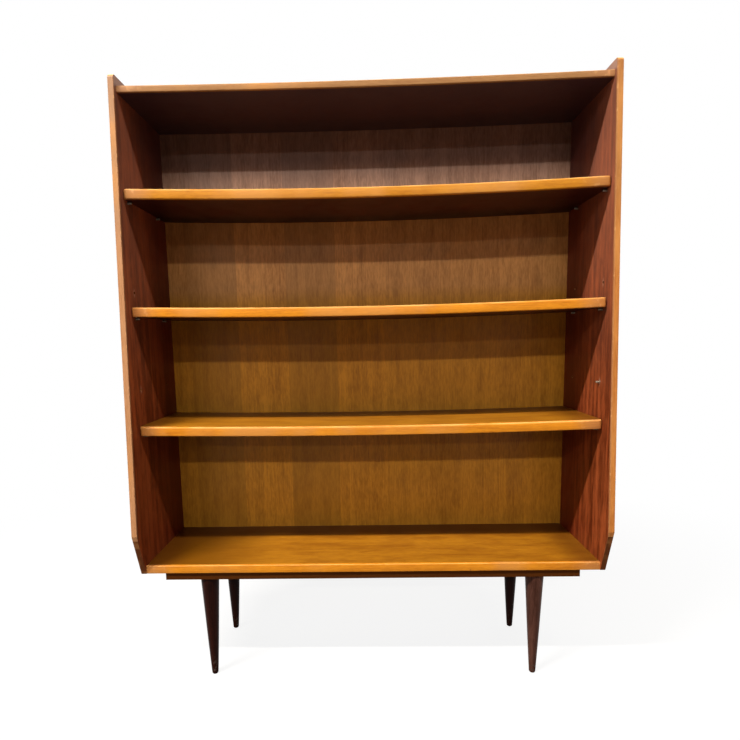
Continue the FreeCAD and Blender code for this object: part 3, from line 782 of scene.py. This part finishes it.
# %% Model the five lippings
SAGS = {"top_board": 0.005, "bottom_board": 0.0, "upper_shelf": 0.011, "middle_shelf": 0.009,
        "lower_shelf": 0.007}
SHELF_RADII = (0.005, 0.0025, 0.008)     # of the upper edge, the lower edge and the corners
FIXED_RADII = (0.002, 0.002, 0.0)
for board, sag in SAGS.items():
    is_shelf = board.endswith("shelf")
    strip = model_strip(board + "_lipping", sag, *(SHELF_RADII if is_shelf else FIXED_RADII))
    hand_over(strip, board + "_lipping", board if is_shelf else "case", "lipping",
              TOP_LIPPING if board == "top_board" else LEVEL_LIPPING)
    print(strip.name, "has", len(strip.data.polygons), "faces")

# %% [markdown]
# ## Turning
# A turner's work is round about one line, so it is made as a turner sees it: a list of stations, each a
# distance along that line and a radius. A disc is added at the first station, and for each of the next
# it is extruded along and resized. A swell or a rounding is a formula that gives the stations.

# %% Turning helper
def turned(name, start, direction, stations, sides=48):
    """A closed round piece through the stations (distance, radius) from a start point."""
    start, direction = Vector(start), Vector(direction).normalized()
    distance, radius = stations[0]
    start_fresh()
    bpy.ops.mesh.primitive_circle_add(
        vertices=sides, radius=radius, fill_type="NGON", location=start + direction * distance,
        rotation=direction.to_track_quat("Z", "Y").to_euler())
    piece = bpy.context.object
    place_in_mesh(piece)
    bpy.ops.object.mode_set(mode="EDIT")
    bpy.ops.mesh.select_mode(type="FACE")
    bpy.ops.mesh.select_all(action="SELECT")
    for next_distance, next_radius in stations[1:]:
        step = direction * (next_distance - distance)
        bpy.ops.mesh.extrude_region_move(TRANSFORM_OT_translate={"value": step})
        share = next_radius / radius
        bpy.ops.transform.resize(value=(share, share, share),
                                 center_override=start + direction * next_distance)
        distance, radius = next_distance, next_radius
    bpy.ops.mesh.select_all(action="SELECT")
    bpy.ops.mesh.normals_make_consistent(inside=False)
    bpy.ops.object.mode_set(mode="OBJECT")
    bpy.ops.object.shade_smooth_by_angle(angle=math.radians(35))
    piece.name = name
    return piece


def quarter(start, radius, depth, height, steps=6):
    """Stations of a rounding that begins flat at the end and turns to run along."""
    turns = [math.pi / 2 * step / steps for step in range(steps + 1)]
    return [(start + depth * (1 - math.cos(turn)), radius - height + height * math.sin(turn))
            for turn in turns]


print("a rounding of six steps has", len(quarter(0.0, 1.0, 0.5, 0.5)), "stations")

# %% [markdown]
# ## Four turned legs
# The legs taper from 48 mm under the rail to about 17 mm at the floor. A straight taper looks hollow to
# the eye, so a turner leaves a slight swell in the middle. The feet are rounded like a thumb's end.

# %% Model the legs
LEG_SWELL = 0.0007
FOOT_RADIUS = 0.0084
FOOT_ROUNDING = 0.0055
FOOT_ROUND_SHARE = 0.55      # how much of the foot's radius the rounding takes
TOP_EASING = 0.001           # the leg's upper edge is eased by this much, in two steps
LEG_RINGS = 18


def model_leg(node):
    """One leg in the space of its CAD node."""
    low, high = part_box(node)
    middle = (low + high) / 2
    length, top_radius = high.z - low.z, (high.x - low.x) / 2
    stations = quarter(0.0, FOOT_RADIUS, FOOT_ROUNDING, FOOT_RADIUS * FOOT_ROUND_SHARE)
    for ring in range(1, LEG_RINGS + 1):
        share = ring / LEG_RINGS
        taper = FOOT_RADIUS + (top_radius - FOOT_RADIUS) * share
        height = FOOT_ROUNDING + (length - FOOT_ROUNDING - TOP_EASING) * share
        stations.append((height, taper + LEG_SWELL * math.sin(math.pi * share) * (1 - share)))
    stations.append((length - TOP_EASING * 0.3, top_radius - TOP_EASING * 0.3))
    stations.append((length, top_radius - TOP_EASING))
    return turned(node, (middle.x, middle.y, low.z), (0, 0, 1), stations, sides=64)


for row in ("front", "rear"):
    for side in ("left", "right"):
        leg_node = row + "_" + side + "_leg"
        leg = model_leg(leg_node)
        # The front right leg wears the lighter copy, as painted light.
        dye = PAINTED_LIT_LEG_WOOD if leg_node == "front_right_leg" else LEG_WOOD
        hand_over(leg, leg_node, "case", "leg_wood", dye)
        print(leg.name, "has", len(leg.data.polygons), "faces")

# %% [markdown]
# ## Shelf pins
# A pin is a short steel peg with a thin collar that stops it against the side. Its tip is domed. Each
# CAD node holds a set of four, so one pin is turned for each, and a set is joined into one piece.

# %% Model the pins
PIN_PROFILE = {"in_hole": 0.009, "peg_radius": 0.00342, "collar_radius": 0.00475,
               "collar_start": 0.0002, "collar_end": 0.0011, "out": 0.010,
               "dome_depth": 0.0014, "dome_height": 0.0022}
PIN_END_TAPER = (0.85, 0.0006)       # the hidden end's share of the radius, and the taper's length
COLLAR_EASING = (0.0002, 0.0003)     # of the collar's edge near the side, and of its outer edge


def model_pin(mouth_x, y, z):
    """One pin through a hole's mouth in a side's inner face."""
    side = 1 if mouth_x > 0 else -1
    peg, collar = PIN_PROFILE["peg_radius"], PIN_PROFILE["collar_radius"]
    hidden, out = PIN_PROFILE["in_hole"], PIN_PROFILE["out"]
    collar_start = hidden + PIN_PROFILE["collar_start"]
    collar_end = hidden + PIN_PROFILE["collar_end"]
    dome_depth, dome_height = PIN_PROFILE["dome_depth"], PIN_PROFILE["dome_height"]
    dome = [(hidden + out - back, radius) for back, radius in
            reversed(quarter(0.0, peg, dome_depth, dome_height))]
    narrow, taper = PIN_END_TAPER
    near, far = COLLAR_EASING
    stations = [(0.0, peg * narrow), (taper, peg), (collar_start, peg),
                (collar_start, collar - near), (collar_start + near, collar),
                (collar_end - far, collar), (collar_end, collar - far), (collar_end, peg), *dome]
    return turned("pin", (mouth_x + side * hidden, y, z), (-side, 0, 0), stations, sides=24)


def model_pin_set(node):
    """All the pins of a CAD node, joined; their places come from the node's own mesh."""
    low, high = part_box(node)
    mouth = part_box("right_side_panel")[0].x
    collar = PIN_PROFILE["collar_radius"]
    alone = low.x > 0
    rows = (low.y + collar,) if alone else (low.y + collar, high.y - collar)
    made = [model_pin(side * mouth, y, (low.z + high.z) / 2)
            for side in ((1,) if alone else (-1, 1)) for y in rows]
    start_fresh()
    for pin in made:
        pin.select_set(True)
    bpy.context.view_layer.objects.active = made[0]
    if len(made) > 1:
        bpy.ops.object.join()
    return bpy.context.object


for owner in ("lower_shelf_pins", "middle_shelf_pins", "upper_shelf_pins", "spare_shelf_pin"):
    pins = model_pin_set(owner)
    is_spare = owner.startswith("spare")
    # The spare pin wears the lighter steel, as painted light.
    hand_over(pins, owner, "spare_pin" if is_spare else "case", "pin_steel",
              PAINTED_LIT_SPARE_PIN_STEEL if is_spare else PIN_STEEL)
    print(pins.name, "has", len(pins.data.polygons), "faces")

# %% [markdown]
# ## Floor
# The floor is a plain pale sheet that runs out of sight. Seen directly it is lit up almost to white,
# and the part of it that stays an ordinary surface carries the shadow of the case. A few steps away
# it turns all white, so it meets the air without a line. Its bounce up into the case is kept low by
# making it greyer for the rays that only light things.

# %% Floor
FLOOR_SIZE = 60.0
FLOOR_GLOW = 0.84            # how much of the floor's look is its own white, near the case
SHADOW_REACH = (0.7, 2.2)    # metres from the case over which the floor turns all white
FLOOR_PAINT = (0.9, 0.9, 0.9, 1)
FLOOR_BOUNCE = (0.13, 0.12, 0.11, 1)     # the greyer tone that only lights things


def seen_directly(tree):
    """1 for rays from the camera, a reflection or glass, and 0 for rays that only light things."""
    path = add_node(tree, "LightPath").outputs
    direct = sums(tree, "MAXIMUM", path["Is Camera Ray"], path["Is Glossy Ray"])
    return sums(tree, "MAXIMUM", direct, path["Is Transmission Ray"])


def make_floor():
    """A wide sheet that is white where it is seen, keeps a faint shadow and gives little light back."""
    start_fresh()
    bpy.ops.mesh.primitive_plane_add(size=FLOOR_SIZE)
    floor = bpy.context.object
    floor.name = "floor"
    material = bpy.data.materials.new("floor_paint")
    material.use_nodes = True
    tree = material.node_tree
    tree.nodes.clear()
    direct = seen_directly(tree)
    tone = mixed(tree, direct, FLOOR_BOUNCE, FLOOR_PAINT)
    matt = add_node(tree, "BsdfDiffuse", {"Color": tone}).outputs[0]
    white = add_node(tree, "Emission", {"Color": (1, 1, 1, 1), "Strength": 1.0}).outputs[0]
    place = add_node(tree, "TexCoord").outputs["Object"]
    away = add_node(tree, "VectorMath", {0: place}, operation="LENGTH").outputs["Value"]
    share = sums(tree, "MULTIPLY", direct, ramp(tree, away, *SHADOW_REACH, FLOOR_GLOW, 1.0))
    both = add_node(tree, "MixShader", {0: share, 1: matt, 2: white}).outputs[0]
    add_node(tree, "OutputMaterial", {"Surface": both})
    floor.data.materials.append(material)
    return floor


print(make_floor().name, "is", FLOOR_SIZE, "metres across")

# %% [markdown]
# ## Air and lamps
# The air is white where it is seen. As a light it is nearly dark in front, so that the lamps alone
# shape the shadows in the bays, and bright behind, so that the rear can be read. Three high lamps in
# front light the board tops and draw the bright wedges on the sides. Two long lamps far off, one above
# the other, light the back panel and give the shadow under each board its two steps.

# %% World and lamps
AIR_IN_FRONT, AIR_BEHIND = 0.01, 0.8
AIM_HEIGHT = 0.95            # every lamp points at this height, straight back from its place
WARM_WHITE = (1.0, 0.95, 0.88)
LAMPS = {
    "high_left_lamp": ((-3.0, -2.5, 4.9), 430, (2.4, 0.14), WARM_WHITE),
    "high_middle_lamp": ((-0.6, -2.5, 4.9), 60, (2.4, 0.14), WARM_WHITE),
    "high_right_lamp": ((2.6, -2.5, 4.9), 130, (3.0, 0.14), WARM_WHITE),
    "far_upper_lamp": ((-2.0, -9.4, 5.2), 395, (10.0, 0.2), WARM_WHITE),
    "far_lower_lamp": ((-2.0, -9.6, 3.5), 80, (10.0, 0.2), (1.0, 0.95, 0.90))}


def make_world(in_front, behind):
    """White air wherever it is seen; as a light it is dim in front and brighter behind."""
    world = bpy.data.worlds.new("studio_air")
    world.use_nodes = True
    tree = world.node_tree
    background = tree.nodes["Background"]
    towards = parts_of(tree, add_node(tree, "TexCoord").outputs["Generated"])
    lighting = ramp(tree, towards[1], -0.1, 0.6, in_front, behind)
    level = sums(tree, "MAXIMUM", seen_directly(tree), lighting)
    tree.links.new(level, background.inputs["Strength"])
    background.inputs["Color"].default_value = (1, 1, 1, 1)
    bpy.context.scene.world = world


def add_lamp(name, place, watts, size, colour):
    """A long lamp that runs parallel to the shelves; size is its width and height."""
    target = (place[0], 0.0, AIM_HEIGHT)
    start_fresh()
    bpy.ops.object.light_add(type="AREA", location=place)
    lamp = bpy.context.object
    lamp.name = name
    lamp.data.shape = "RECTANGLE"
    lamp.data.size, lamp.data.size_y = size
    lamp.data.energy = watts
    lamp.data.color = colour
    lamp.rotation_euler = (Vector(target) - Vector(place)).to_track_quat("-Z", "Y").to_euler()
    return lamp


make_world(AIR_IN_FRONT, AIR_BEHIND)
for lamp_name, lamp_settings in LAMPS.items():
    add_lamp(lamp_name, *lamp_settings)

# %% [markdown]
# ## Finish
# Colours are shown as they are, with no film-like curve.

# %% Finish
bpy.context.scene.view_settings.view_transform = "Standard"
